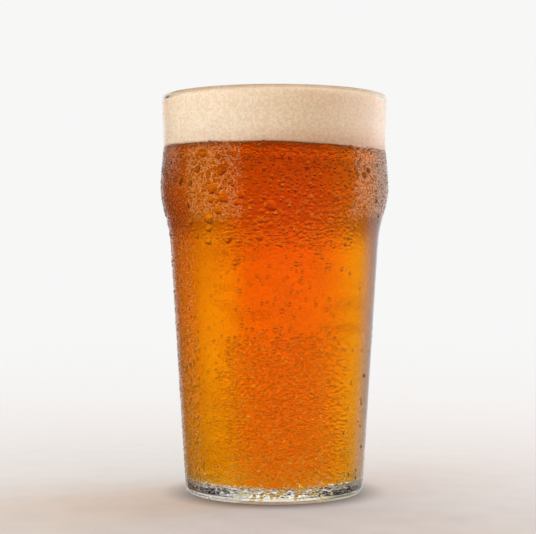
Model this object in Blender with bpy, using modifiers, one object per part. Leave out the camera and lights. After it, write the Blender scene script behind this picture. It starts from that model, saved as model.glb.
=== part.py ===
"""A pint of ale with a creamy head, in a clear glass with a bulge under its rim.

Metres, +Z up. The origin is at the bottom centre of the glass, on the surface it stands on.
There are three separate solids: the glass, the ale that fills it and the foam that lies on the ale.
"""

import math

import bpy

# Outer form of the glass: a straight taper, a bulge under the rim, a waist above the bulge
HEIGHT = 0.152
FOOT_RADIUS = 0.03395
TAPER = 0.0616
TAPER_TOP = 0.0935
FLARE_HEIGHT = 0.1062
FLARE_RADIUS = 0.0418
FLARE_SLOPE = 0.29
BULGE_HEIGHT = 0.1163
BULGE_RADIUS = 0.04368
WAIST_HEIGHT = 0.1356
WAIST_RADIUS = 0.04257
RIM_RADIUS = 0.0433
RIM_SLOPE = 0.05

# Wall and base of the glass
WALL_AT_FLOOR = 0.0044
WALL_AT_BULGE = 0.0031
WALL_AT_RIM = 0.0026
FLOOR_HEIGHT = 0.0056
FLOOR_CORNER = 0.0018
HEEL_RADIUS = 0.003
FOOT_RING_INNER = 0.0265
RECESS_DEPTH = 0.0016

# Contents: the line between ale and foam is tilted a little, lower at +X
CLEARANCE = 0.0003
HEAD_LINE = 0.1313
HEAD_TILT = math.radians(1.4)
FOAM_EDGE = 0.1508
FOAM_DOME = 0.0008
FOAM_SHOULDER = 0.0012
OVERLAP = 0.004

# How finely the round shapes are divided
TURN_STEPS = 60
WALL_POINTS = 18
TAPER_POINTS = 4
ARC_POINTS = 5

# Materials: base colour, roughness, transmission, index of refraction
FINISHES = {
    "glass": ((0.93, 0.95, 0.94), 0.02, 1.0, 1.52),
    "ale": ((0.85, 0.26, 0.03), 0.03, 0.9, 1.345),
    "foam": ((0.93, 0.83, 0.68), 0.75, 0.0, 1.33),
}


def outer_radius(height):
    """Radius of the outside at a height: smooth cubics between the stations of the outline."""
    stations = (
        (0.0, FOOT_RADIUS, TAPER),
        (TAPER_TOP, FOOT_RADIUS + TAPER * TAPER_TOP, TAPER),
        (FLARE_HEIGHT, FLARE_RADIUS, FLARE_SLOPE),
        (BULGE_HEIGHT, BULGE_RADIUS, 0.0),
        (WAIST_HEIGHT, WAIST_RADIUS, 0.0),
        (HEIGHT, RIM_RADIUS, RIM_SLOPE),
    )
    for low, high in zip(stations, stations[1:]):
        if height <= high[0]:
            break
    span = high[0] - low[0]
    t = (height - low[0]) / span
    return (
        (2 * t**3 - 3 * t**2 + 1) * low[1]
        + (t**3 - 2 * t**2 + t) * span * low[2]
        + (3 * t**2 - 2 * t**3) * high[1]
        + (t**3 - t**2) * span * high[2]
    )


def wall_thickness(height):
    """Thickness of the wall, which thins from the floor to the bulge and on to the rim."""
    if height < BULGE_HEIGHT:
        t = (height - FLOOR_HEIGHT) / (BULGE_HEIGHT - FLOOR_HEIGHT)
        return WALL_AT_FLOOR + (WALL_AT_BULGE - WALL_AT_FLOOR) * t
    t = (height - BULGE_HEIGHT) / (HEIGHT - BULGE_HEIGHT)
    return WALL_AT_BULGE + (WALL_AT_RIM - WALL_AT_BULGE) * t


def inner_radius(height):
    """Radius of the inside of the glass at a height."""
    return outer_radius(height) - wall_thickness(height)


def steps(start, end, count):
    """Evenly spaced values from start to end, both included."""
    return [start + (end - start) * i / (count - 1) for i in range(count)]


def wall_heights(low, high):
    """Heights from low to high: few along the straight taper, more round the bulge and the waist."""
    straight = steps(low, TAPER_TOP, TAPER_POINTS)
    curved = steps(TAPER_TOP, high, WALL_POINTS)
    return straight + curved[1:]


def arc(centre, radius, start, end):
    """Points of an arc about centre, from the start angle to the end angle in degrees."""
    turned = (math.radians(a) for a in steps(start, end, ARC_POINTS))
    return [(centre[0] + radius * math.cos(a), centre[1] + radius * math.sin(a)) for a in turned]


def cavity_corner(gap):
    """The rounded corner between floor and wall, drawn inwards by gap, from the floor upwards."""
    centre_height = FLOOR_HEIGHT + FLOOR_CORNER
    centre = (inner_radius(centre_height) - FLOOR_CORNER, centre_height)
    return arc(centre, FLOOR_CORNER - gap, -90, 0)


def glass_profile():
    """Half section of the glass: inside floor, up the wall, over the lip, down the outside, the foot."""
    corner = cavity_corner(0.0)
    lip_radius = WALL_AT_RIM / 2
    lip_height = HEIGHT - lip_radius
    lip = arc((outer_radius(lip_height) - lip_radius, lip_height), lip_radius, 180, 0)
    inside = [(inner_radius(z), z) for z in wall_heights(corner[-1][1], lip_height)]
    outside = [(outer_radius(z), z) for z in wall_heights(HEEL_RADIUS, lip_height)]
    heel = arc((outer_radius(HEEL_RADIUS) - HEEL_RADIUS, HEEL_RADIUS), HEEL_RADIUS, 0, -90)
    recess = [
        (FOOT_RING_INNER * (1 - t), RECESS_DEPTH * (1 - math.cos(math.pi * t)) / 2)
        for t in steps(0.0, 1.0, ARC_POINTS)
    ]
    return [(0.0, FLOOR_HEIGHT)] + corner + inside[1:-1] + lip + outside[-2::-1] + heel[1:] + recess


def ale_profile():
    """Half section of the ale, carried above the head line: the tilted cut brings it down."""
    top = HEAD_LINE + OVERLAP
    corner = cavity_corner(CLEARANCE)
    side = [(inner_radius(z) - CLEARANCE, z) for z in wall_heights(corner[-1][1], top)]
    return [(0.0, top)] + side[:0:-1] + corner[::-1] + [(0.0, FLOOR_HEIGHT + CLEARANCE)]


def foam_profile():
    """Half section of the foam, carried below the head line: a low dome with a rounded shoulder."""
    bottom = HEAD_LINE - OVERLAP
    reach = inner_radius(FOAM_EDGE) - CLEARANCE
    flat_reach = reach - FOAM_SHOULDER
    shoulder = arc((flat_reach, FOAM_EDGE - FOAM_SHOULDER), FOAM_SHOULDER, 90, 0)
    dome = [
        (flat_reach * t, FOAM_EDGE + FOAM_DOME * math.cos(math.pi * t / 2))
        for t in steps(0.0, 1.0, ARC_POINTS)
    ]
    heights = steps(FOAM_EDGE - FOAM_SHOULDER, bottom, WALL_POINTS // 2)
    side = [(inner_radius(z) - CLEARANCE, z) for z in heights]
    return dome + shoulder[1:-1] + side + [(0.0, bottom)]


def new_collection(name):
    """A collection of that name in the scene."""
    collection = bpy.data.collections.new(name)
    bpy.context.scene.collection.children.link(collection)
    return collection


def new_material(name):
    """A Principled material with the finish of that name."""
    colour, roughness, transmission, ior = FINISHES[name]
    material = bpy.data.materials.new(name)
    material.use_nodes = True
    shader = material.node_tree.nodes["Principled BSDF"]
    shader.inputs["Base Color"].default_value = (*colour, 1.0)
    shader.inputs["Roughness"].default_value = roughness
    shader.inputs["Metallic"].default_value = 0.0
    shader.inputs["Transmission Weight"].default_value = transmission
    shader.inputs["IOR"].default_value = ior
    return material


def turned_solid(name, profile, collection):
    """A solid turned about the Z axis from a half section in the XZ plane, as (radius, height)."""
    mesh = bpy.data.meshes.new(name)
    edges = [(i, i + 1) for i in range(len(profile) - 1)]
    mesh.from_pydata([(radius, 0.0, height) for radius, height in profile], edges, [])
    mesh.materials.append(new_material(name))
    solid = bpy.data.objects.new(name, mesh)
    collection.objects.link(solid)
    turn = solid.modifiers.new("turn", "SCREW")
    turn.axis = "Z"
    turn.angle = math.tau
    turn.steps = TURN_STEPS
    turn.render_steps = TURN_STEPS
    turn.use_merge_vertices = True
    turn.merge_threshold = 0.00002
    turn.use_smooth_shade = True
    return solid


def tilted_block(name, upwards, collection):
    """A cutter block whose face is the head line: it lies above the line, or below it."""
    size = 3 * BULGE_RADIUS
    shift = size / 2 if upwards else -size / 2
    bpy.ops.mesh.primitive_cube_add(size=size)
    block = bpy.context.active_object
    block.name = name
    block.rotation_euler = (0.0, HEAD_TILT, 0.0)
    line = HEAD_LINE if upwards else HEAD_LINE + CLEARANCE
    block.location = (shift * math.sin(HEAD_TILT), 0.0, line + shift * math.cos(HEAD_TILT))
    block.hide_render = True
    block.display_type = "WIRE"
    for owner in list(block.users_collection):
        owner.objects.unlink(block)
    collection.objects.link(block)
    return block


def cut(solid, cutter):
    """Take the cutter's space out of the solid."""
    boolean = solid.modifiers.new("head_line", "BOOLEAN")
    boolean.operation = "DIFFERENCE"
    boolean.object = cutter


def build():
    """Make the glass, the ale and the foam."""
    for thing in list(bpy.data.objects):
        bpy.data.objects.remove(thing, do_unlink=True)
    parts = new_collection("pint_of_ale")
    cutters = new_collection("cutters")
    turned_solid("glass", glass_profile(), parts)
    ale = turned_solid("ale", ale_profile(), parts)
    foam = turned_solid("foam", foam_profile(), parts)
    cut(ale, tilted_block("above_head_line", True, cutters))
    cut(foam, tilted_block("below_head_line", False, cutters))


build()
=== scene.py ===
"""The looks of a brimful pint of ale: clear glass, amber ale, creamy head and cold condensation.

Metres, +Z up, the origin at the centre of the foot. The front of the glass faces -Y.
"""

import logging
import math
from dataclasses import dataclass
from enum import Enum
from typing import NamedTuple

import bpy
import numpy as np
from bpy.types import Material, Mesh, Node, NodeSocket, NodeTree, Object
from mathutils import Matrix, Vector


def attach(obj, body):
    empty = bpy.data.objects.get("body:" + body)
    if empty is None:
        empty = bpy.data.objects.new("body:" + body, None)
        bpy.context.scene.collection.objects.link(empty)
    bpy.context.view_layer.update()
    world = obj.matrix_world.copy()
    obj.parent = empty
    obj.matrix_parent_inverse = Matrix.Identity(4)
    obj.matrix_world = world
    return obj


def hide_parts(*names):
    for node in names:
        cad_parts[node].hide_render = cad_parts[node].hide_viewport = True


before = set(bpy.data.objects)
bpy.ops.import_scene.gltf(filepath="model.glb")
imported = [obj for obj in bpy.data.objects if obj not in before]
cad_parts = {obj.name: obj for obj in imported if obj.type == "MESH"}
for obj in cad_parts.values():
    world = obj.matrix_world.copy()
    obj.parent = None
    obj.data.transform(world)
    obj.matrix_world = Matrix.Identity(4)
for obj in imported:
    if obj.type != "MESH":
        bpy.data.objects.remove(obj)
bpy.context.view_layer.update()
LOG = logging.getLogger("pint")
MM = 0.001
Array = np.ndarray
FULL_CROSSINGS = 5.5
"""A ray that has passed through more surfaces than this has crossed the ale."""
BASE_CROSSINGS = 9.5
"""One that has passed through more than this has been mirrored in the base as well."""
ONE_MIRRORING = 1.5
"""A ray that was mirrored more often than this has run back and forth in the base."""


class Sheet:
    """A node tree with short-hands for adding and linking nodes."""

    def __init__(self, tree: NodeTree) -> None:
        """Work on a tree, which starts empty."""
        self.tree = tree
        tree.nodes.clear()

    def put(self, kind: str, inputs: dict | None = None, **settings: object) -> Node:
        """Add a node.

        Args:
            kind: the node's type, without the leading "ShaderNode".
            inputs: a value, or an output socket to link, for each input by name or number.
            settings: the node's own properties.

        Returns:
            The new node.
        """
        node = self.tree.nodes.new("ShaderNode" + kind)
        for name, value in settings.items():
            setattr(node, name, value)
        for key, value in (inputs or {}).items():
            if isinstance(value, NodeSocket):
                self.tree.links.new(value, node.inputs[key])
            else:
                node.inputs[key].default_value = value
        return node

    def maths(self, operation: str, *values: object) -> NodeSocket:
        """The result of a Math node over values or sockets."""
        return self.put("Math", dict(enumerate(values)), operation=operation).outputs[0]

    def times(self, *factors: object) -> NodeSocket:
        """The product of two or more values or sockets."""
        product = factors[0]
        for factor in factors[1:]:
            product = self.maths("MULTIPLY", product, factor)
        return product

    def less(self, value: object) -> NodeSocket:
        """1 less a value or socket."""
        return self.maths("SUBTRACT", 1.0, value)

    def here(self) -> NodeSocket:
        """The place on the object, in its own coordinates."""
        return self.put("TexCoord").outputs["Object"]

    def split(self, vector: NodeSocket) -> dict:
        """The X, Y and Z of a vector, by name."""
        return self.put("SeparateXYZ", {0: vector}).outputs

    def attribute(self, name: str) -> NodeSocket:
        """The piece's own attribute of that name."""
        return self.put("Attribute", attribute_name=name).outputs["Fac"]

    def ramp(self, source: NodeSocket, low: float, high: float, start: float = 0.0,
             end: float = 1.0, shape: str = "SMOOTHSTEP") -> NodeSocket:
        """A step of the source, smooth or linear: start below low, end above high."""
        inputs = {"Value": source, "From Min": low, "From Max": high, "To Min": start, "To Max": end}
        return self.put("MapRange", inputs, interpolation_type=shape).outputs["Result"]

    def between(self, source: NodeSocket, low: float, risen: float, falling: float,
                high: float, before: float = 0.0, after: float = 0.0) -> NodeSocket:
        """A level of the source: before below low, 1 from risen to falling, after above high."""
        start = self.ramp(source, low, risen, before)
        return self.times(start, self.ramp(source, falling, high, 1.0, after))

    def blend(self, share: object, first: object, second: object) -> NodeSocket:
        """A mix of two colours, by a share from 0 to 1."""
        return self.put("Mix", {0: share, 6: first, 7: second}, data_type="RGBA").outputs[2]

    def tinted(self, colour: object, tint: object) -> NodeSocket:
        """A colour times a tint or a level."""
        return self.put("MixRGB", {0: 1.0, 1: colour, 2: tint}, blend_type="MULTIPLY").outputs[0]

    def bump(self, strength: float, depth: float, height: NodeSocket,
             under: NodeSocket | None = None) -> NodeSocket:
        """The normal of a relief of that depth, over another normal where one is given."""
        inputs = {"Strength": strength, "Distance": depth, "Height": height}
        if under is not None:
            inputs["Normal"] = under
        return self.put("Bump", inputs).outputs["Normal"]


def rgb(red: float, green: float, blue: float) -> tuple[float, float, float, float]:
    """An opaque colour from linear values."""
    return (red, green, blue, 1.0)


WHITE = rgb(1.0, 1.0, 1.0)
BLACK = rgb(0.0, 0.0, 0.0)


def new_material(name: str) -> tuple[Material, Sheet]:
    """An empty node material and the sheet to lay it out on."""
    material = bpy.data.materials.new(name)
    material.use_nodes = True
    return material, Sheet(material.node_tree)


def bubble_group() -> NodeTree:
    """The group of fine round cells that foam and misted glass share, built once.

    Two sizes of Voronoi cell each give domes, one minus the squared distance to the cell's centre.
    The group puts out their height, and a mask that wanders slowly over the surface.
    """
    name = "round cells"
    if name in bpy.data.node_groups:
        return bpy.data.node_groups[name]
    tree = bpy.data.node_groups.new(name, "ShaderNodeTree")
    for label, kind, way in (
        ("Vector", "Vector", "INPUT"),
        ("Cells per metre", "Float", "INPUT"),
        ("Height", "Float", "OUTPUT"),
        ("Mask", "Float", "OUTPUT"),
    ):
        tree.interface.new_socket(label, in_out=way, socket_type="NodeSocket" + kind)
    sheet = Sheet(tree)
    taken = tree.nodes.new("NodeGroupInput").outputs
    small = sheet.put("TexVoronoi", {"Vector": taken["Vector"], "Scale": taken["Cells per metre"]})
    wide_scale = sheet.times(taken["Cells per metre"], 0.43)
    wide = sheet.put("TexVoronoi", {"Vector": taken["Vector"], "Scale": wide_scale})
    domes = [sheet.less(sheet.maths("POWER", cell.outputs["Distance"], 2.0)) for cell in (small, wide)]
    height = sheet.maths("ADD", sheet.times(domes[0], 0.45), sheet.times(domes[1], 0.55))
    wander = {"Vector": taken["Vector"], "Scale": 95.0, "Detail": 3.0, "Roughness": 0.6}
    slow = sheet.put("TexNoise", wander)
    given = tree.nodes.new("NodeGroupOutput").inputs
    tree.links.new(height, given["Height"])
    tree.links.new(slow.outputs["Fac"], given["Mask"])
    return tree


def cells(sheet: Sheet, where: NodeSocket, per_metre: float) -> Node:
    """Place the group of round cells on a sheet."""
    return sheet.put("Group", {"Vector": where, "Cells per metre": per_metre}, node_tree=bubble_group())


def close_clear(sheet: Sheet, shade: float, inputs: dict, filling: Node | None = None) -> None:
    """End a clear material: lamps shine through it, a little dimmed, where the eye sees it bend light.

    Its shader is white, polished and fully clear but for what the inputs say.
    """
    plain = {"Base Color": WHITE, "Roughness": 0.0, "Transmission Weight": 1.0}
    shader = sheet.put("BsdfPrincipled", plain | inputs)
    lamp = sheet.put("LightPath").outputs["Is Shadow Ray"]
    through = sheet.put("BsdfTransparent", {"Color": rgb(shade, shade, shade)})
    mixed = sheet.put("MixShader", {0: lamp, 1: shader.outputs[0], 2: through.outputs[0]})
    given = sheet.put("OutputMaterial", {"Surface": mixed.outputs[0]})
    if filling is not None:
        sheet.tree.links.new(filling.outputs[0], given.inputs["Volume"])


@dataclass(frozen=True)
class ClearGlass:
    """Polished glass, misted outside where the cold ale is behind it, and a little brown at the lip."""

    tint: tuple = rgb(0.975, 0.985, 0.98)
    lip_tint: tuple = rgb(0.68, 0.62, 0.55)
    lip_start: float = 0.1503
    lip_end: float = 0.1512
    bend: float = 1.52
    mist_roughness: float = 0.05
    bead_cells: float = 1700.0
    bead_height: float = 0.00016
    wave_scale: float = 520.0
    wave_squeeze: float = 1.7
    wave_height: float = 0.0007

    def material(self) -> Material:
        """Build the material, which reads the piece's own attributes named wet and ripple."""
        material, sheet = new_material("clear_glass")
        where = sheet.here()
        wet = sheet.attribute("wet")
        beads = cells(sheet, where, self.bead_cells)
        mist = sheet.times(wet, sheet.ramp(beads.outputs["Mask"], 0.38, 0.62))
        fine = sheet.bump(0.5, self.bead_height, sheet.times(beads.outputs["Height"], wet))
        waves = sheet.times(self.waves(sheet, where), sheet.attribute("ripple"))
        lip = sheet.ramp(sheet.split(where)["Z"], self.lip_start, self.lip_end)
        close_clear(sheet, 0.94, {
            "Base Color": sheet.blend(lip, self.tint, self.lip_tint),
            "Roughness": sheet.times(mist, self.mist_roughness),
            "IOR": self.bend,
            "Normal": sheet.bump(0.5, self.wave_height, waves, fine),
        })
        return material

    def waves(self, sheet: Sheet, where: NodeSocket) -> NodeSocket:
        """Low wavy ridges of run-together water, longer along the glass's round than up it."""
        squeezed = sheet.put("Mapping", {"Vector": where, "Scale": (1.0, 1.0, self.wave_squeeze)})
        noise = sheet.put("TexNoise", {
            "Vector": squeezed.outputs[0], "Scale": self.wave_scale, "Detail": 0.6, "Distortion": 0.2,
        })
        return noise.outputs["Fac"]


@dataclass(frozen=True)
class WettedWall:
    """The inner wall below the head, where light passes from glass to ale and bends only a little."""

    glass_bend: float = 1.52
    ale_bend: float = 1.345

    def material(self) -> Material:
        """Build the material, whose index of refraction is that of glass as seen from the ale."""
        material, sheet = new_material("wetted_wall")
        close_clear(sheet, 1.0, {"IOR": self.glass_bend / self.ale_bend})
        return material


@dataclass(frozen=True)
class AmberAle:
    """Clear amber ale: it takes out blue almost at once, green over a few centimetres, hardly any red.

    The ale's surface lies inside the glass wall, and the wetted wall does the bending between the two,
    so the ale's own surface bends nothing.
    """

    bend: float = 1.0
    filter_colour: tuple = rgb(0.983, 0.804, 0.04)
    filter_density: float = 120.0
    # painted shade: the ale is tinted darker towards the head, standing in for the shade under the foam
    painted_shade_tint: tuple = rgb(0.61, 0.57, 0.55)
    painted_shade_start: float = 0.104
    painted_shade_end: float = 0.119
    # painted highlight: a lighter line just below the head, slanting with it, where the painted shade is
    # left out
    painted_highlight_span: tuple = (0.1257, 0.1269, 0.1288, 0.13)
    painted_highlight_slope: float = 0.0244

    def material(self) -> Material:
        """Build the material: painted shade darkens its tint towards the head, but for a painted highlight
        line just below it.
        """
        material, sheet = new_material("amber_ale")
        place = sheet.split(sheet.here())
        # painted shade, rising with height towards the head
        shaded = sheet.ramp(place["Z"], self.painted_shade_start, self.painted_shade_end)
        # painted highlight line: the painted shade is lifted there, on faces turned towards the ray only
        level = sheet.maths("MULTIPLY_ADD", place["X"], self.painted_highlight_slope, place["Z"])
        line = sheet.times(
            sheet.between(level, *self.painted_highlight_span),
            sheet.less(sheet.put("NewGeometry").outputs["Backfacing"]),
        )
        tint = sheet.blend(sheet.times(shaded, sheet.less(line)), WHITE, self.painted_shade_tint)
        inside = {"Color": self.filter_colour, "Density": self.filter_density}
        filling = sheet.put("VolumeAbsorption", inside)
        close_clear(sheet, 1.0, {"Base Color": tint, "IOR": self.bend}, filling)
        return material


@dataclass(frozen=True)
class CreamFoam:
    """Dense cream-coloured froth of fine bubbles, with painted shade in the seams between bubbles, and low
    down darker with wetter froth and painted shade, most on the right.
    """

    light: tuple = rgb(0.95, 0.86, 0.74)
    # painted shade: the darker colour of the seams between bubbles
    deep: tuple = rgb(0.82, 0.70, 0.55)
    # painted shade: froth soaked with ale, painted near-black for the dark line under the head
    soaked: tuple = rgb(0.24, 0.07, 0.02)
    # wetter froth with painted shade low down: pale on the lit left, darker and warmer on the right
    wet_shade_left: tuple = rgb(0.92, 0.88, 0.86)
    wet_shade_right: tuple = rgb(0.83, 0.67, 0.60)
    wet_shade_below: float = 0.129
    wet_shade_top: float = 0.139
    bubble_cells: float = 2100.0

    def material(self) -> Material:
        """Build the material: painted shade deepens the seams between bubbles; where the piece's attribute
        for soaked froth is 1, painted shade makes it dark.
        """
        material, sheet = new_material("cream_foam")
        where = sheet.here()
        froth = cells(sheet, where, self.bubble_cells).outputs
        # painted shade in the seams between the round cells, broken up by a slow wandering mask
        domes = sheet.ramp(froth["Height"], 0.55, 0.95)
        patch = sheet.ramp(froth["Mask"], 0.3, 0.7, 0.8, 1.0)
        colour = sheet.blend(sheet.times(domes, patch), self.deep, self.light)
        place = sheet.split(where)
        # wetter froth low down, darkened by painted shade most on the right, fading out upwards
        above_wet_shade = sheet.ramp(place["Z"], self.wet_shade_below, self.wet_shade_top)
        wet = sheet.blend(sheet.ramp(place["X"], -0.018, -0.004), self.wet_shade_left, self.wet_shade_right)
        colour = sheet.tinted(colour, sheet.blend(above_wet_shade, wet, WHITE))
        shader = sheet.put("BsdfPrincipled", {
            # painted shade: the dark line at the wall under the head
            "Base Color": sheet.blend(sheet.attribute("soaked"), colour, self.soaked),
            "Roughness": 0.62,
            "IOR": 1.34,
            "Subsurface Weight": 0.35,
            "Subsurface Radius": (0.004, 0.0025, 0.0015),
            "Subsurface Scale": 1.0,
            "Normal": sheet.bump(0.2, 0.00012, froth["Height"]),
        })
        sheet.put("OutputMaterial", {"Surface": shader.outputs[0]})
        return material


@dataclass(frozen=True)
class ColdWater:
    """Clear water of the condensation."""

    bend: float = 1.333

    def material(self) -> Material:
        """Build the material: a trace of unevenness keeps the highlights from looking machined."""
        material, sheet = new_material("cold_water")
        ripple = sheet.put("TexNoise", {"Vector": sheet.here(), "Scale": 700.0, "Detail": 1.0})
        normal = sheet.bump(0.08, 0.0001, ripple.outputs["Fac"])
        close_clear(sheet, 0.99, {"IOR": self.bend, "Normal": normal})
        return material


@dataclass(frozen=True)
class MistWater:
    """The finest mist, too small to see through: each bead is a pale speck, with painted light from the ale
    behind it, more golden on the left.
    """

    # painted light: the ale's glow scattered in the mist, golden on the left, paler on the right
    left: tuple = rgb(0.84, 0.55, 0.27)
    right: tuple = rgb(0.92, 0.76, 0.62)
    bend: float = 1.333
    roughness: float = 0.3
    through: float = 0.58

    def material(self) -> Material:
        """Build the material: part of the light passes, part is spread."""
        material, sheet = new_material("mist_water")
        side = sheet.ramp(sheet.split(sheet.here())["X"], 0.0, 0.02)
        close_clear(sheet, 0.9, {
            "Base Color": sheet.blend(side, self.left, self.right),
            "Roughness": self.roughness,
            "IOR": self.bend,
            "Transmission Weight": self.through,
        })
        return material


@dataclass(frozen=True)
class PaleFloor:
    """A pale floor that fades into the background light with distance, and isn't seen through the ale."""

    near: tuple = rgb(0.55, 0.545, 0.545)
    grain: tuple = rgb(0.51, 0.505, 0.505)
    far: tuple = rgb(0.64, 0.49, 0.42)
    # painted contact shadow round the foot
    painted_contact_shadow: tuple = rgb(0.16, 0.14, 0.12)
    under_glass: tuple = rgb(0.88, 0.85, 0.82)
    centre: tuple = (0.0, -0.1, 0.0)
    fade_start: float = 0.06
    fade_length: float = 0.19

    def material(self) -> Material:
        """Build the material, clearer with distance: 1 less e to the power of minus distance by length.

        Through bare glass only the part just under and behind it is seen, and it glows a little.
        """
        material, sheet = new_material("pale_floor")
        where = sheet.here()
        centred = sheet.put("VectorMath", {0: where, 1: self.centre}, operation="DISTANCE")
        distance = centred.outputs["Value"]
        noise = sheet.put("TexNoise", {"Vector": where, "Scale": 60.0, "Detail": 4.0})
        colour = sheet.blend(sheet.ramp(noise.outputs["Fac"], 0.3, 0.8), self.near, self.grain)
        colour = sheet.blend(sheet.ramp(distance, 0.1, 0.6), colour, self.far)
        reach = sheet.put("VectorMath", {0: where}, operation="LENGTH").outputs["Value"]
        # painted contact shadow: darker close round the foot
        colour = sheet.blend(sheet.ramp(reach, 0.030, 0.046), self.painted_contact_shadow, colour)
        path = sheet.put("LightPath").outputs
        passed = path["Is Transmission Ray"]
        seen = sheet.times(
            passed,
            sheet.ramp(reach, 0.05, 0.08, 1.0, 0.0),
            sheet.ramp(sheet.split(where)["Y"], -0.045, -0.03),
        )
        shader = sheet.put("BsdfPrincipled", {
            "Base Color": sheet.blend(seen, colour, self.under_glass),
            "Roughness": 0.7,
            "Specular IOR Level": 0.2,
            "Emission Color": self.under_glass,
            "Emission Strength": sheet.times(seen, 0.7),
        })
        beyond = sheet.maths("MAXIMUM", sheet.maths("SUBTRACT", distance, self.fade_start), 0.0)
        left = sheet.times(
            sheet.maths("EXPONENT", sheet.maths("DIVIDE", beyond, -self.fade_length)),
            sheet.maths("LESS_THAN", path["Transmission Depth"], FULL_CROSSINGS),
            sheet.less(sheet.maths("SUBTRACT", passed, seen)),
        )
        clear = sheet.put("BsdfTransparent")
        mixed = sheet.put("MixShader", {0: left, 1: clear.outputs[0], 2: shader.outputs[0]})
        sheet.put("OutputMaterial", {"Surface": mixed.outputs[0]})
        return material


def arc(centre: tuple, radius: float, start: float, end: float, count: int) -> Array:
    """Points of an arc in a half section, from the start angle to the end angle in degrees."""
    turn = np.radians(np.linspace(start, end, count))
    return np.column_stack([centre[0] + radius * np.cos(turn), centre[1] + radius * np.sin(turn)])


@dataclass(frozen=True)
class GlassForm:
    """Sizes of the glass and of what fills it, and the outlines worked out from them."""

    height: float = 0.152
    foot_radius: float = 0.03395
    taper: float = 0.0616
    taper_top: float = 0.0935
    flare_height: float = 0.1062
    flare_radius: float = 0.0418
    flare_slope: float = 0.29
    bulge_height: float = 0.1163
    bulge_radius: float = 0.04368
    waist_height: float = 0.1356
    waist_radius: float = 0.04257
    rim_radius: float = 0.0433
    rim_slope: float = 0.05
    wall_at_floor: float = 0.0044
    wall_at_bulge: float = 0.0031
    wall_at_rim: float = 0.0026
    floor_height: float = 0.0056
    floor_corner: float = 0.0018
    heel_radius: float = 0.003
    foot_ring_inner: float = 0.0265
    recess_depth: float = 0.0016

    @property
    def taper_radius(self) -> float:
        """Outside radius at the top of the straight taper."""
        return self.foot_radius + self.taper * self.taper_top

    def outer(self, height: float | Array) -> float | Array:
        """Outside radius at each height: a cubic between stations, which keeps the slope given at each."""
        stations = np.array([
            (0.0, self.foot_radius, self.taper),
            (self.taper_top, self.taper_radius, self.taper),
            (self.flare_height, self.flare_radius, self.flare_slope),
            (self.bulge_height, self.bulge_radius, 0.0),
            (self.waist_height, self.waist_radius, 0.0),
            (self.height, self.rim_radius, self.rim_slope),
        ])
        z = np.asarray(height, float)
        index = np.clip(np.searchsorted(stations[:, 0], z, side="right") - 1, 0, len(stations) - 2)
        low, high = stations[index], stations[index + 1]
        span = high[..., 0] - low[..., 0]
        t = (z - low[..., 0]) / span
        return (
            (2 * t**3 - 3 * t**2 + 1) * low[..., 1]
            + (t**3 - 2 * t**2 + t) * span * low[..., 2]
            + (3 * t**2 - 2 * t**3) * high[..., 1]
            + (t**3 - t**2) * span * high[..., 2]
        )

    def inner(self, height: float | Array) -> float | Array:
        """Inside radius at each height: the outside less the wall, which thins towards the rim."""
        wall = np.interp(
            height,
            (self.floor_height, self.bulge_height, self.height),
            (self.wall_at_floor, self.wall_at_bulge, self.wall_at_rim),
        )
        return self.outer(height) - wall

    def floor_corner_arc(self, outset: float) -> Array:
        """The round corner inside the floor, pushed out by outset, from the floor up to the wall."""
        height = self.floor_height + self.floor_corner
        centre = (self.inner(height) - self.floor_corner, height)
        return arc(centre, self.floor_corner + outset, -90, 0, 12)

    def glass_outline(self) -> Array:
        """The glass's half section from under the foot, up the outside, over the lip and down inside."""
        ring = np.linspace(0.0, 1.0, 14)
        recess = np.column_stack([
            self.foot_ring_inner * ring,
            self.recess_depth * (1 + np.cos(np.pi * ring)) / 2,
        ])
        heel_centre = self.outer(self.heel_radius) - self.heel_radius
        heel = arc((heel_centre, self.heel_radius), self.heel_radius, -90, 0, 12)
        lip_radius = self.wall_at_rim / 2
        lip_height = self.height - lip_radius
        outside = np.linspace(self.heel_radius, lip_height, 120)
        lip_centre = self.outer(lip_height) - lip_radius
        lip = arc((lip_centre, lip_height), lip_radius, 0, 180, 16)
        corner = self.floor_corner_arc(0.0)
        inside = np.linspace(lip_height, corner[-1, 1], 110)
        return np.vstack([
            recess,
            heel,
            np.column_stack([self.outer(outside), outside])[1:-1],
            lip,
            np.column_stack([self.inner(inside), inside])[1:-1],
            corner[::-1],
            [(0.0, self.floor_height)],
        ])


def placed_object(name: str, data: bpy.types.ID) -> Object:
    """A new object with that data, in the scene."""
    thing = bpy.data.objects.new(name, data)
    bpy.context.scene.collection.objects.link(thing)
    return thing


def new_piece(name: str, points: Array, faces: list, material: Material) -> Object:
    """A smooth-shaded mesh piece of the object, which rides on its one body.

    The faces hold vertex numbers, turning anticlockwise seen from outside.
    """
    mesh = bpy.data.meshes.new(name)
    mesh.from_pydata(points.tolist(), [], faces)
    mesh.shade_smooth()
    mesh.materials.append(material)
    piece = placed_object(name, mesh)
    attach(piece, "root")
    LOG.info("%s: %d vertices, %d faces", name, len(mesh.vertices), len(mesh.polygons))
    return piece


def vertex_places(mesh: Mesh) -> Array:
    """The x, y and z of all vertices, one row each."""
    places = np.empty(len(mesh.vertices) * 3)
    mesh.vertices.foreach_get("co", places)
    return places.reshape(-1, 3).T


def mark(mesh: Mesh, name: str, values: Array) -> None:
    """Write a value for each vertex as an attribute of that name."""
    mesh.attributes.new(name, "FLOAT", "POINT").data.foreach_set("value", values.astype(np.float32))


def angles(count: int) -> Array:
    """Evenly spaced angles round a full turn."""
    return np.linspace(0.0, 2 * np.pi, count, endpoint=False)


def stacked(columns: int, *parts: Array) -> Array:
    """The rows of all parts, one below the other, with a lone value spread over the columns."""
    return np.vstack([np.broadcast_to(part, (len(part), columns)) for part in parts])


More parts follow.
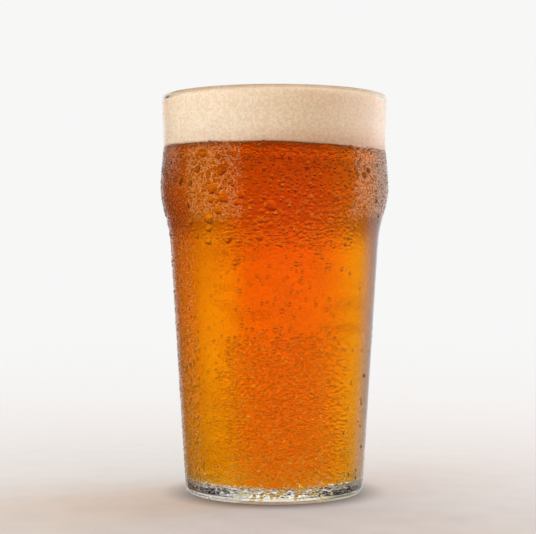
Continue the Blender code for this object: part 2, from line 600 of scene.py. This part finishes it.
def turned(radius: Array, height: Array) -> tuple[Array, list]:
    """Turn an outline about Z: x is radius times cosine, y is radius times sine, z is height.

    Args:
        radius: one row for each point of the outline and one column for each turn; the outline runs
            from the bottom of the axis up its outer side to the axis again.
        height: the same for the heights.

    Returns:
        Vertex places, with one vertex at each end of the axis, and the faces.
    """
    rows, columns = radius.shape
    angle = angles(columns)
    ring = np.stack([radius * np.cos(angle), radius * np.sin(angle), height], axis=-1)[1:-1]
    points = np.vstack([ring.reshape(-1, 3), [(0, 0, height[0].mean())], [(0, 0, height[-1].mean())]])
    here = np.arange((rows - 2) * columns).reshape(rows - 2, columns)
    there = np.roll(here, -1, axis=1)
    quads = np.stack([here[:-1], there[:-1], there[1:], here[1:]], axis=-1).reshape(-1, 4)
    low, high = len(points) - 2, len(points) - 1
    start = np.stack([np.full(columns, low), there[0], here[0]], axis=-1)
    end = np.stack([here[-1], there[-1], np.full(columns, high)], axis=-1)
    return points, quads.tolist() + start.tolist() + end.tolist()


@dataclass(frozen=True)
class HeadLine:
    """The uneven line between ale and foam: lower to the right, with slow waves round the wall."""

    height: float = 0.1313
    tilt: float = math.radians(1.4)

    def at(self, x: Array, y: Array) -> Array:
        """Height of the line: a tilted plane plus three small waves that fade towards the middle."""
        angle = np.arctan2(y, x)
        share = np.clip(np.hypot(x, y) / 0.04, 0, 1)
        waves = 0.22 * np.sin(3 * angle + 0.6) + 0.16 * np.sin(5 * angle + 2.0) + 0.08 * np.sin(11 * angle)
        return self.height - math.tan(self.tilt) * x + waves * share * MM


@dataclass(frozen=True)
class PintGlass:
    """The glass itself."""

    form: GlassForm
    line: HeadLine
    turns: int = 288
    mist_low: float = 0.002
    mist_high: float = 0.147
    above_line: float = 0.002

    def build(self) -> None:
        """Turn the outline, part off the wall that the ale wets, and mark where the outside is wet."""
        outline = self.form.glass_outline()
        radius = stacked(self.turns, outline[:, :1])
        height = stacked(self.turns, outline[:, 1:])
        piece = new_piece("clear_glass", *turned(radius, height), ClearGlass().material())
        piece.data.materials.append(WettedWall().material())
        self.part_off_wetted(piece.data)
        self.mark_outside(piece.data)
        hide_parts("glass")

    def inside(self, x: Array, y: Array, z: Array) -> Array:
        """True for places nearer the inner wall than the outer one."""
        return np.hypot(x, y) < (self.form.outer(z) + self.form.inner(z)) / 2

    def part_off_wetted(self, mesh: Mesh) -> None:
        """Give the inner faces, up to just above the head line, the second material."""
        centres = np.empty(len(mesh.polygons) * 3)
        mesh.polygons.foreach_get("center", centres)
        x, y, z = centres.reshape(-1, 3).T
        span = (z > self.form.floor_height - MM) & (z < self.line.height + self.above_line)
        mesh.polygons.foreach_set("material_index", (self.inside(x, y, z) & span).astype(np.int32))

    def mark_outside(self, mesh: Mesh) -> None:
        """Write two attributes on the outside: wet, where it is misted, and ripple, where water has run."""
        x, y, z = vertex_places(mesh)
        rise = np.clip((z - self.mist_low) / 0.004, 0, 1) * np.clip((self.mist_high - z) / 0.006, 0, 1)
        outside = np.where(self.inside(x, y, z), 0.0, rise)
        ripple = Wetness.RIPPLE.share(np.arctan2(x, -y), z)
        mark(mesh, "wet", outside)
        mark(mesh, "ripple", outside * ripple)


@dataclass(frozen=True)
class AleFill:
    """The ale, from the floor of the glass to the line under the foam."""

    form: GlassForm
    line: HeadLine
    turns: int = 240
    reach: float = 0.00012

    def build(self) -> None:
        """Turn the inside of the glass, a hair wider, and close it with the uneven top."""
        corner = self.form.floor_corner_arc(self.reach)
        share = np.linspace(0.0, 1.0, 130)[1:, None]
        angle = angles(self.turns)
        rim = self.form.inner(self.line.height)
        top = self.line.at(rim * np.cos(angle), rim * np.sin(angle))
        low = corner[-1, 1]
        side_height = low + (top - low) * share
        side_radius = self.form.inner(side_height) + self.reach
        inwards = np.linspace(1.0, 0.0, 24)[1:, None]
        lid_radius = side_radius[-1:] * inwards
        lid_height = self.line.at(lid_radius * np.cos(angle), lid_radius * np.sin(angle))
        base = np.vstack([[(0.0, self.form.floor_height - self.reach)], corner])
        radius = stacked(self.turns, base[:, :1], side_radius, lid_radius)
        height = stacked(self.turns, base[:, 1:], side_height, lid_height)
        piece = new_piece("amber_ale", *turned(radius, height), AmberAle().material())
        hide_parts("ale")


@dataclass(frozen=True)
class FoamHead:
    """The head: a thick layer of froth with a low, bubbly dome just under the rim."""

    form: GlassForm
    line: HeadLine
    turns: int = 320
    reach: float = 0.00012
    sunk: float = 0.00015
    edge_height: float = 0.1508
    dome: float = 0.0008
    shoulder: float = 0.0012
    bubbles: int = 1500
    # how far in and up the painted dark line under the head reaches
    soaked_shade_share: float = 0.82
    soaked_shade_rise: float = 0.0007

    def mark_soaked_shade(self, mesh: Mesh) -> None:
        """Write the attribute for froth soaked with ale, which the foam paints dark as shade: 1 at the wall
        on the underside, fading inwards and up the side.
        """
        x, y, z = vertex_places(mesh)
        rim = self.form.inner(self.line.height)
        inwards = np.clip((np.hypot(x, y) / rim - self.soaked_shade_share) / (1 - self.soaked_shade_share), 0, 1)
        upwards = np.clip(1 - (z - self.line.at(x, y) + self.sunk) / self.soaked_shade_rise, 0, 1)
        mark(mesh, "soaked", inwards**2 * upwards)

    def relief(self, x: Array, y: Array) -> Array:
        """Height of the bubbles on top: at each point the tallest of many seeded domes stands out."""
        draw = np.random.default_rng(11)
        reach = 0.0385 * np.sqrt(draw.random(self.bubbles))
        turn = 2 * np.pi * draw.random(self.bubbles)
        size = (0.35 + 1.1 * draw.random(self.bubbles) ** 3) * MM
        centre = np.stack([reach * np.cos(turn), reach * np.sin(turn)], axis=-1)
        flat = np.stack([x.ravel(), y.ravel()], axis=-1)
        tallest = np.zeros(len(flat))
        for block in np.array_split(np.arange(len(flat)), 40):
            gap = np.linalg.norm(flat[block, None] - centre, axis=-1)
            domes = np.sqrt(np.clip(size**2 - gap**2, 0, None)) - 0.45 * size
            tallest[block] = np.clip(domes, 0, None).max(axis=1)
        return tallest.reshape(x.shape) * 0.6

    def build(self) -> None:
        """Turn the head from its underside, up the wall, over the shoulder and the bubbly dome."""
        angle = angles(self.turns)
        wall = self.form.inner(self.line.height) + self.reach
        outwards = np.linspace(0.0, 1.0, 16)[:, None]
        under_radius = wall * outwards
        under_x, under_y = under_radius * np.cos(angle), under_radius * np.sin(angle)
        under_height = self.line.at(under_x, under_y) - self.sunk
        upwards = np.linspace(0.0, 1.0, 30)[1:, None]
        side_top = self.edge_height - self.shoulder
        side_height = under_height[-1:] + (side_top - under_height[-1:]) * upwards
        side_radius = self.form.inner(side_height) + self.reach
        flat = float(side_radius[-1, 0]) - self.shoulder
        over = np.radians(np.linspace(0.0, 90.0, 8))[1:, None]
        shoulder_radius = flat + self.shoulder * np.cos(over)
        shoulder_height = side_top + self.shoulder * np.sin(over)
        inwards = np.linspace(1.0, 0.0, 150)[1:, None]
        dome_radius = flat * inwards
        bubbles = self.relief(dome_radius * np.cos(angle), dome_radius * np.sin(angle))
        dome_height = self.edge_height + self.dome * np.cos(np.pi / 2 * inwards) + bubbles
        radius = stacked(self.turns, under_radius, side_radius, shoulder_radius, dome_radius)
        height = stacked(self.turns, under_height, side_height, shoulder_height, dome_height)
        piece = new_piece("foam_head", *turned(radius, height), CreamFoam().material())
        self.mark_soaked_shade(piece.data)
        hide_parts("foam")


def rise(value: Array, low: float, high: float) -> Array:
    """A smooth step: 0 below low, 1 above high, and three t squared less two t cubed between."""
    t = np.clip((value - low) / (high - low), 0, 1)
    return t * t * (3 - 2 * t)


def hump(value: Array, low: float, high: float, soft: float) -> Array:
    """1 between low and high, with smooth flanks of width soft on both sides."""
    return rise(value, low - soft, low) * (1 - rise(value, high, high + soft))


class Wetness(Enum):
    """How a kind of drop, or the rippled film, spreads over the outside of the glass."""

    MIST = "mist"
    BEADS = "beads"
    DROPS = "drops"
    RIDGES = "ridges"
    LARGE = "large"
    RIPPLE = "ripple"

    def share(self, turn: Array, height: Array) -> Array:
        """How much of a place this kind takes, from 0 to 1; the turn is 0 in front, more to the right."""
        side = np.degrees(turn)
        z = height / MM
        cold = hump(z, 3, 148, 2)
        head = rise(z, 129, 132)
        patch = 0.5 + 0.5 * np.sin(3.1 * turn + 0.04 * z + 1.3) * np.sin(1.7 * turn - 0.062 * z)
        behind = rise(np.abs(side), 88, 110)
        edge_on = hump(np.abs(side), 70, 110, 8)
        left_edge = hump(side, -125, -54, 9)
        clear_right = hump(side, 34, 60, 6) * (1 - rise(z, 92, 104))
        top_left = hump(side, -45, -19, 5) * hump(z, 108, 130, 6)
        top_right = hump(side, 47, 120, 8) * rise(z, 102, 110)
        dry_right = hump(side, 62, 118, 8) * (1 - rise(z, 100, 108))
        middle = hump(side, -22, 42, 10)
        low = hump(z, 8, 56, 10)
        calm = hump(z, 66, 90, 7)
        bulge = hump(z, 96, 128, 5)
        if self is Wetness.MIST:
            front = 0.2 * left_edge * (1 - 0.2 * bulge) + top_left + top_right
            return cold * (1 - 0.85 * dry_right) * np.clip(front + 0.05 * behind, 0, 1) * (1 - 0.6 * head)
        if self is Wetness.BEADS:
            front = 0.16 * (1 - 0.9 * clear_right) + 0.6 * left_edge - 0.1 * calm
            front += 0.65 * top_left + 0.5 * top_right
            return cold * (1 - 0.9 * dry_right) * np.clip(front + 0.05 * behind, 0, 1) * (1 - 0.4 * head)
        if self is Wetness.DROPS:
            front = 0.10 + 0.35 * top_left + 0.15 * left_edge + 0.12 * middle * (low + bulge)
            share = front * (1 - 0.7 * edge_on) * (1 - 0.9 * clear_right) + 0.22 * behind * patch
            return cold * (1 - 0.7 * head) * (1 - dry_right) * share
        if self is Wetness.RIDGES:
            front = middle * (0.95 * low + 0.75 * bulge + 0.12 * calm) + 0.15 * low
            front = front * (1 - behind) * (1 - 0.8 * clear_right)
            return cold * (1 - head) * (1 - edge_on) * (front + 0.3 * behind * patch)
        if self is Wetness.LARGE:
            share = 0.12 * bulge * (1 - behind) + 0.22 * patch * behind
            return cold * (1 - 0.9 * head) * (1 - edge_on) * share
        film = 0.15 + 0.85 * middle * np.clip(low + 0.8 * bulge + 0.2 * calm, 0, 1) + 0.4 * behind
        return cold * (1 - 0.9 * head) * (1 - 0.6 * dry_right) * np.clip(film, 0, 1)


@dataclass(frozen=True)
class DropKind:
    """Sizes of one kind of drop: across, up, smallest and largest in millimetres, the rest as shares."""

    name: str
    wetness: Wetness
    seed: int
    across: float
    up: float
    smallest: float
    largest: float
    flatness: float
    roundness: float
    droop: float
    stretch: float
    unevenness: float
    sides: int
    rings: int


class Scatter(NamedTuple):
    """Places and sizes of the drops of one kind, one entry each."""

    turn: Array
    height: Array
    size: Array

    def kept(self, which: Array) -> "Scatter":
        """The drops marked in which."""
        return Scatter(*(values[which] for values in self))

    def joined(self, more: "Scatter") -> "Scatter":
        """These drops and more, together."""
        return Scatter(*(np.concatenate(pair) for pair in zip(self, more)))


@dataclass(frozen=True)
class Condensation:
    """Cold drops on the outside of the glass, one mesh piece for each kind."""

    form: GlassForm
    kinds: tuple[DropKind, ...] = (
        DropKind("large_drops", Wetness.LARGE, 3, 4.6, 4.6, 0.9, 1.3, 0.75, 3.0, 0.3, 1.1, 0.1, 24, 7),
        DropKind("ridge_drops", Wetness.RIDGES, 5, 2.0, 1.4, 0.58, 0.92, 0.5, 2.0, 0.3, 1.25, 0.14, 10, 2),
        DropKind("small_drops", Wetness.DROPS, 7, 1.6, 1.6, 0.4, 0.75, 0.5, 2.4, 0.3, 1.1, 0.1, 10, 2),
        DropKind("fine_beads", Wetness.BEADS, 9, 1.2, 1.1, 0.22, 0.4, 0.45, 2.0, 0.1, 1.0, 0.05, 6, 1),
        DropKind("mist_beads", Wetness.MIST, 13, 0.43, 0.43, 0.15, 0.2, 0.3, 2.0, 0.0, 1.0, 0.0, 4, 0),
    )
    settled: tuple[tuple[float, float, float], ...] = (
        (-37, 128.0, 1.74), (-40, 122.1, 1.38), (-26, 121.6, 1.87), (-20, 127.3, 1.15), (-28, 126.4, 1.05),
        (-31, 114.8, 1.87), (-35, 104.2, 1.96), (-29, 107.1, 1.5), (-25, 97.3, 2.0), (-37, 96.2, 1.6),
        (-8, 97.7, 1.5), (-2, 108.6, 1.9), (-25, 111.5, 1.8), (-36, 100.6, 1.3), (16, 122.7, 1.4),
        (61, 111.0, 1.0), (31, 112.0, 1.9), (2, 54.2, 1.3), (10, 21.5, 1.8), (-21, 88.4, 1.2),
        (-16, 112.5, 1.4), (-52, 118.0, 1.2), (44, 120.5, 1.0), (-48, 109.0, 1.1),
        (-38, 138.3, 1.5), (-31, 136.1, 1.3), (-27, 139.7, 1.2), (-44, 135.0, 1.1),
    )

    def scatter(self, kind: DropKind) -> Scatter:
        """Draw one place in each cell of a grid round the glass, and keep those that the wetness allows."""
        draw = np.random.default_rng(kind.seed)
        lengths = (kind.across, kind.up, kind.smallest, kind.largest)
        across, up, smallest, largest = (length * MM for length in lengths)
        columns = int(2 * np.pi * self.form.taper_radius / across)
        column, row = np.meshgrid(np.arange(columns), np.arange(int(self.form.height / up)))
        shape = column.shape
        turn = (column + 0.5 * (row % 2) + 0.8 * (draw.random(shape) - 0.5)) / columns * 2 * np.pi - np.pi
        height = (row + 0.5 + 0.8 * (draw.random(shape) - 0.5)) * up
        size = smallest + (largest - smallest) * draw.random(shape) ** 1.8
        chosen = draw.random(shape) < kind.wetness.share(turn, height)
        return Scatter(turn[chosen], height[chosen], size[chosen])

    def big_ones(self) -> Scatter:
        """The few big drops of the front, as listed: turn in degrees, height and size in millimetres."""
        turn, height, size = np.array(self.settled).T
        return Scatter(np.radians(turn), height * MM, size * MM)

    def clear_of(self, drops: Scatter, others: Scatter) -> Scatter:
        """Leave out the drops that lie on one of the others, a belt of the glass at a time."""
        order = np.argsort(drops.height)
        free = np.ones(len(order), bool)
        for belt in np.array_split(order, max(1, len(order) // 200)):
            near = np.abs(others.height - drops.height[belt][:, None]).min(axis=0) < 3 * MM
            gap_turn = np.angle(np.exp(1j * (drops.turn[belt][:, None] - others.turn[near])))
            across = gap_turn * self.form.outer(drops.height[belt])[:, None]
            gap = np.hypot(across, drops.height[belt][:, None] - others.height[near])
            reach = others.size[near] + 0.75 * drops.size[belt][:, None]
            free[belt] = (gap > reach).all(axis=1)
        return drops.kept(free)

    def build(self) -> None:
        """Make every kind, the largest first, so that smaller drops keep off the larger ones."""
        water = ColdWater().material()
        mist = MistWater().material()
        placed = self.big_ones()
        for kind in self.kinds:
            drops = self.clear_of(self.scatter(kind), placed)
            if kind.wetness is Wetness.LARGE:
                drops = placed.joined(drops)
                placed = drops
            elif kind.wetness is not Wetness.RIDGES:
                placed = placed.joined(drops)
            finish = mist if kind.wetness is Wetness.MIST else water
            piece = new_piece(kind.name, *self.domes(kind, drops), finish)

    def domes(self, kind: DropKind, drops: Scatter) -> tuple[Array, list]:
        """Join a low dome for each drop, bent to the glass, as vertex places and faces.

        In a drop's own disc, a point at share s of the way out and angle a lies at s times an uneven
        outline, and stands 1 less s to the power of the kind's roundness, times the drop's height, off
        the glass. It hangs: the inner points lie lower by the kind's droop. The last ring lies just
        inside the glass, and a second one at the same place, with a middle vertex, closes the drop.
        """
        draw = np.random.default_rng(kind.seed + 100)
        count = len(drops.size)
        angle = angles(kind.sides)
        share = np.linspace(0.0, 1.0, kind.rings + 2)[1:] ** 0.6
        wide = drops.size * (1 + (kind.stretch - 1) * draw.random(count) * 2)
        tall = drops.size * (1 + 0.15 * draw.random(count))
        outline = np.ones((count, kind.sides))
        for wave in (2, 3, 4):
            phase = 2 * np.pi * draw.random(count)[:, None]
            outline += kind.unevenness * draw.normal(0, 0.6, count)[:, None] * np.cos(wave * angle + phase)
        out = share[:, None] * outline[:, None, :]
        sag = -kind.droop * tall[:, None, None] * (1 - share[:, None])
        across = out * np.cos(angle) * wide[:, None, None]
        up = out * np.sin(angle) * tall[:, None, None] + sag
        crest = kind.flatness * drops.size
        sunk = 0.006 * MM + 0.008 * drops.size
        lift = crest[:, None] * (1 - share ** kind.roundness)
        lift[:, -1] = -sunk
        rings = self.on_glass(drops, across, up, np.repeat(lift[:, :, None], kind.sides, axis=2))
        rings = np.concatenate([rings, rings[:, -1:]], axis=1)
        zero = np.zeros((count, 1, 1))
        lowered = (-kind.droop * tall)[:, None, None]
        tops = self.on_glass(drops, zero, lowered, crest[:, None, None])
        feet = self.on_glass(drops, zero, zero, -sunk[:, None, None])
        per_drop = (kind.rings + 2) * kind.sides
        points = np.concatenate([drop.reshape(count, -1, 3) for drop in (rings, tops, feet)], axis=1)
        index = np.arange(per_drop).reshape(kind.rings + 2, kind.sides)
        ahead = np.roll(index, -1, axis=1)
        top = np.stack([np.full(kind.sides, per_drop), index[0], ahead[0]], axis=-1)
        foot = np.stack([np.full(kind.sides, per_drop + 1), ahead[-1], index[-1]], axis=-1)
        belts = np.stack([index[:-2], index[1:-1], ahead[1:-1], ahead[:-2]], axis=-1).reshape(-1, 4)
        start = (np.arange(count) * (per_drop + 2))[:, None, None]
        faces = []
        for loops in (top, belts, foot):
            faces += (loops[None] + start).reshape(-1, loops.shape[-1]).tolist()
        return points.reshape(-1, 3), faces

    def on_glass(self, drops: Scatter, across: Array, up: Array, lift: Array) -> Array:
        """Places on the glass: across and up are lengths along its outside, and lift is off it."""
        height = drops.height[:, None, None] + up
        body = self.form.outer(height)
        turn = drops.turn[:, None, None] + across / body
        radius = body + lift
        return np.stack([radius * np.sin(turn), -radius * np.cos(turn), height + 0 * radius], axis=-1)


@dataclass(frozen=True)
class Surroundings:
    """Light from all round, by its direction and by what the ray has met.

    The azimuth is in degrees, 0 straight behind the glass and more to the right. Up is the rise of the
    ray's direction, and stray is 1 for a ray that the base has mirrored more than once, else 0.
    """

    pale: tuple = rgb(0.93, 0.93, 0.925)
    bright: tuple = rgb(1.25, 1.25, 0.35)
    golden: tuple = rgb(1.25, 0.77, 0.1)
    ruddy: tuple = rgb(1.25, 0.58, 0.05)
    fill: tuple = rgb(1.32, 0.96, 0.635)

    def across_ale(self, sheet: Sheet, up: NodeSocket, azimuth: NodeSocket,
                   crossed: NodeSocket) -> NodeSocket:
        """What a ray sees that has crossed the ale: bright light behind, golden in the middle."""
        level = sheet.maths(
            "MAXIMUM",
            sheet.between(azimuth, -49, -34, 18, 30, 0.2, 0.77),
            sheet.times(sheet.between(azimuth, 29, 37, 47, 66, 0.0, 0.15), 0.84),
        )
        level = sheet.times(
            level,
            sheet.ramp(sheet.maths("ABSOLUTE", azimuth), 97.4, 114.6, 1.0, 0.0),
            sheet.ramp(up, 0.03, 0.30, 1.0, 0.3, "LINEAR"),
            sheet.ramp(up, -0.14, -0.03, 0.34, 1.0, "LINEAR"),
        )
        table = sheet.ramp(up, -0.34, -0.2, 1.3, 0.0)
        in_base = sheet.maths("GREATER_THAN", crossed, BASE_CROSSINGS)
        in_base = sheet.times(in_base, sheet.maths("GREATER_THAN", up, 0.1))
        level = sheet.maths("MAXIMUM", sheet.maths("MAXIMUM", level, table), sheet.times(in_base, 0.6))
        side = sheet.times(sheet.ramp(azimuth, 20, 32), sheet.ramp(up, -0.11, -0.04))
        gold = sheet.maths("MAXIMUM", sheet.between(azimuth, -30, -8, 8.3, 10.6), side)
        golden = sheet.blend(sheet.ramp(up, 0.0, 0.05), self.golden, self.ruddy)
        colour = sheet.blend(sheet.times(gold, sheet.less(in_base)), self.bright, golden)
        return sheet.tinted(colour, level)

    def mirrored(self, sheet: Sheet, up: NodeSocket, azimuth: NodeSocket,
                 stray: NodeSocket) -> NodeSocket:
        """What a ray sees that was mirrored or only crossed bare glass: pale light, mostly behind."""
        behind = sheet.times(
            sheet.between(azimuth, -36, -19, 10, 40, 0.03, 0.42),
            sheet.ramp(azimuth, 50, 74, 1.0, 0.15),
            sheet.ramp(up, 0.2, 0.5, 1.0, 0.1),
        )
        aside = sheet.ramp(sheet.maths("ABSOLUTE", azimuth), 51.6, 74.5, 0.9, 0.0)
        raised = sheet.times(sheet.between(up, 0.1, 0.15, 0.32, 0.5), aside)
        raised = sheet.maths("MAXIMUM", raised, sheet.times(stray, 0.85))
        level = sheet.times(sheet.maths("MAXIMUM", behind, raised), 0.95)
        return sheet.blend(level, BLACK, self.pale)

    def build(self) -> None:
        """Lay out the world: the camera sees the plain pale background, and matt things get a warm fill."""
        world = bpy.data.worlds.new("surroundings")
        world.use_nodes = True
        world.cycles.sampling_method = "NONE"
        sheet = Sheet(world.node_tree)
        way = sheet.split(sheet.put("TexCoord").outputs["Generated"])
        up = way["Z"]
        azimuth = sheet.maths("DEGREES", sheet.maths("ARCTAN2", way["X"], way["Y"]))
        path = sheet.put("LightPath").outputs
        crossed = path["Transmission Depth"]
        bounces = sheet.maths("SUBTRACT", path["Ray Depth"], crossed)
        stray = sheet.times(
            sheet.maths("GREATER_THAN", bounces, ONE_MIRRORING),
            sheet.between(azimuth, 8.6, 17.2, 51.6, 63.0),
        )
        mirrored = self.mirrored(sheet, up, azimuth, stray)
        through = self.across_ale(sheet, up, azimuth, crossed)
        deep = sheet.times(sheet.maths("GREATER_THAN", crossed, FULL_CROSSINGS), sheet.less(stray))
        colour = sheet.blend(path["Is Transmission Ray"], self.fill, sheet.blend(deep, mirrored, through))
        colour = sheet.blend(path["Is Reflection Ray"], colour, mirrored)
        fill = sheet.blend(sheet.ramp(up, 0.1, 0.9, 1.0, 0.45), BLACK, self.fill)
        colour = sheet.blend(sheet.maths("GREATER_THAN", path["Diffuse Depth"], 0.5), colour, fill)
        colour = sheet.blend(path["Is Camera Ray"], colour, self.pale)
        light = sheet.put("Background", {"Color": colour, "Strength": 1.0})
        sheet.put("OutputWorld", {"Surface": light.outputs[0]})
        bpy.context.scene.world = world


@dataclass(frozen=True)
class Studio:
    """A pale floor, soft light and the camera at the photograph's viewpoint."""

    picture_width: int = 536
    picture_height: int = 534
    axis_column: float = 274.4
    horizon_row: float = 257.6
    focal_pixels: float = 1450.0
    sensor: float = 36.0
    distance: float = 0.5594
    eye_height: float = 0.09

    def camera(self) -> None:
        """Place the camera level with the middle of the glass, turned a touch left and down."""
        lens = bpy.data.cameras.new("camera")
        lens.sensor_fit = "HORIZONTAL"
        lens.sensor_width = self.sensor
        lens.lens = self.focal_pixels * self.sensor / self.picture_width
        lens.clip_start = 0.01
        camera = placed_object("camera", lens)
        down = math.atan2(self.picture_height / 2 - self.horizon_row, self.focal_pixels)
        left = math.atan2(self.axis_column - self.picture_width / 2, self.focal_pixels)
        camera.location = (0.0, -self.distance, self.eye_height)
        camera.rotation_euler = (math.pi / 2 - down, 0.0, left)
        bpy.context.scene.camera = camera

    def floor(self) -> None:
        """Lay a wide disc under the glass."""
        turn = angles(96)
        points = np.stack([1.6 * np.cos(turn), 1.6 * np.sin(turn), 0 * turn], axis=-1)
        mesh = bpy.data.meshes.new("floor")
        mesh.from_pydata(points.tolist(), [], [list(range(96))])
        mesh.materials.append(PaleFloor().material())
        floor = placed_object("floor", mesh)
        floor.visible_glossy = False

    def lamp(self, name: str, place: tuple, size: tuple, power: float, colour: tuple) -> None:
        """A soft rectangular lamp that faces the middle of the glass."""
        light = bpy.data.lights.new(name, "AREA")
        light.shape = "RECTANGLE"
        light.size, light.size_y = size
        light.energy = power
        light.color = colour
        lamp = placed_object(name, light)
        lamp.location = place
        towards = Vector((0.0, 0.0, 0.12)) - Vector(place)
        lamp.visible_camera = False
        lamp.visible_glossy = False
        lamp.visible_transmission = False
        lamp.rotation_euler = towards.to_track_quat("-Z", "Y").to_euler()

    def lights(self) -> None:
        """Soft boxes front left, right behind and above."""
        self.lamp("left_softbox", (-0.78, -0.62, 0.40), (0.9, 0.8), 7.2, (0.98, 1.10, 1.2))
        self.lamp("right_softbox", (0.95, 0.35, 0.40), (0.7, 0.8), 9.0, (1.0, 1.12, 1.38))
        self.lamp("top_softbox", (0.0, 0.1, 0.9), (0.8, 0.8), 1.5, (1.0, 1.0, 1.0))

    def build(self) -> None:
        """Set up the whole studio and the way the picture is shown."""
        self.camera()
        self.floor()
        self.lights()
        Surroundings().build()
        scene = bpy.context.scene
        scene.view_settings.view_transform = "Standard"
        scene.cycles.max_bounces = 24
        scene.cycles.transmission_bounces = 24
        scene.cycles.transparent_max_bounces = 32


def main() -> None:
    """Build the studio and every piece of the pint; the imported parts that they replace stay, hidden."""
    logging.basicConfig(level=logging.INFO, format="%(name)s: %(message)s")
    form = GlassForm()
    line = HeadLine()
    Studio().build()
    PintGlass(form, line).build()
    AleFill(form, line).build()
    FoamHead(form, line).build()
    Condensation(form).build()


if __name__ == "__main__":
    main()
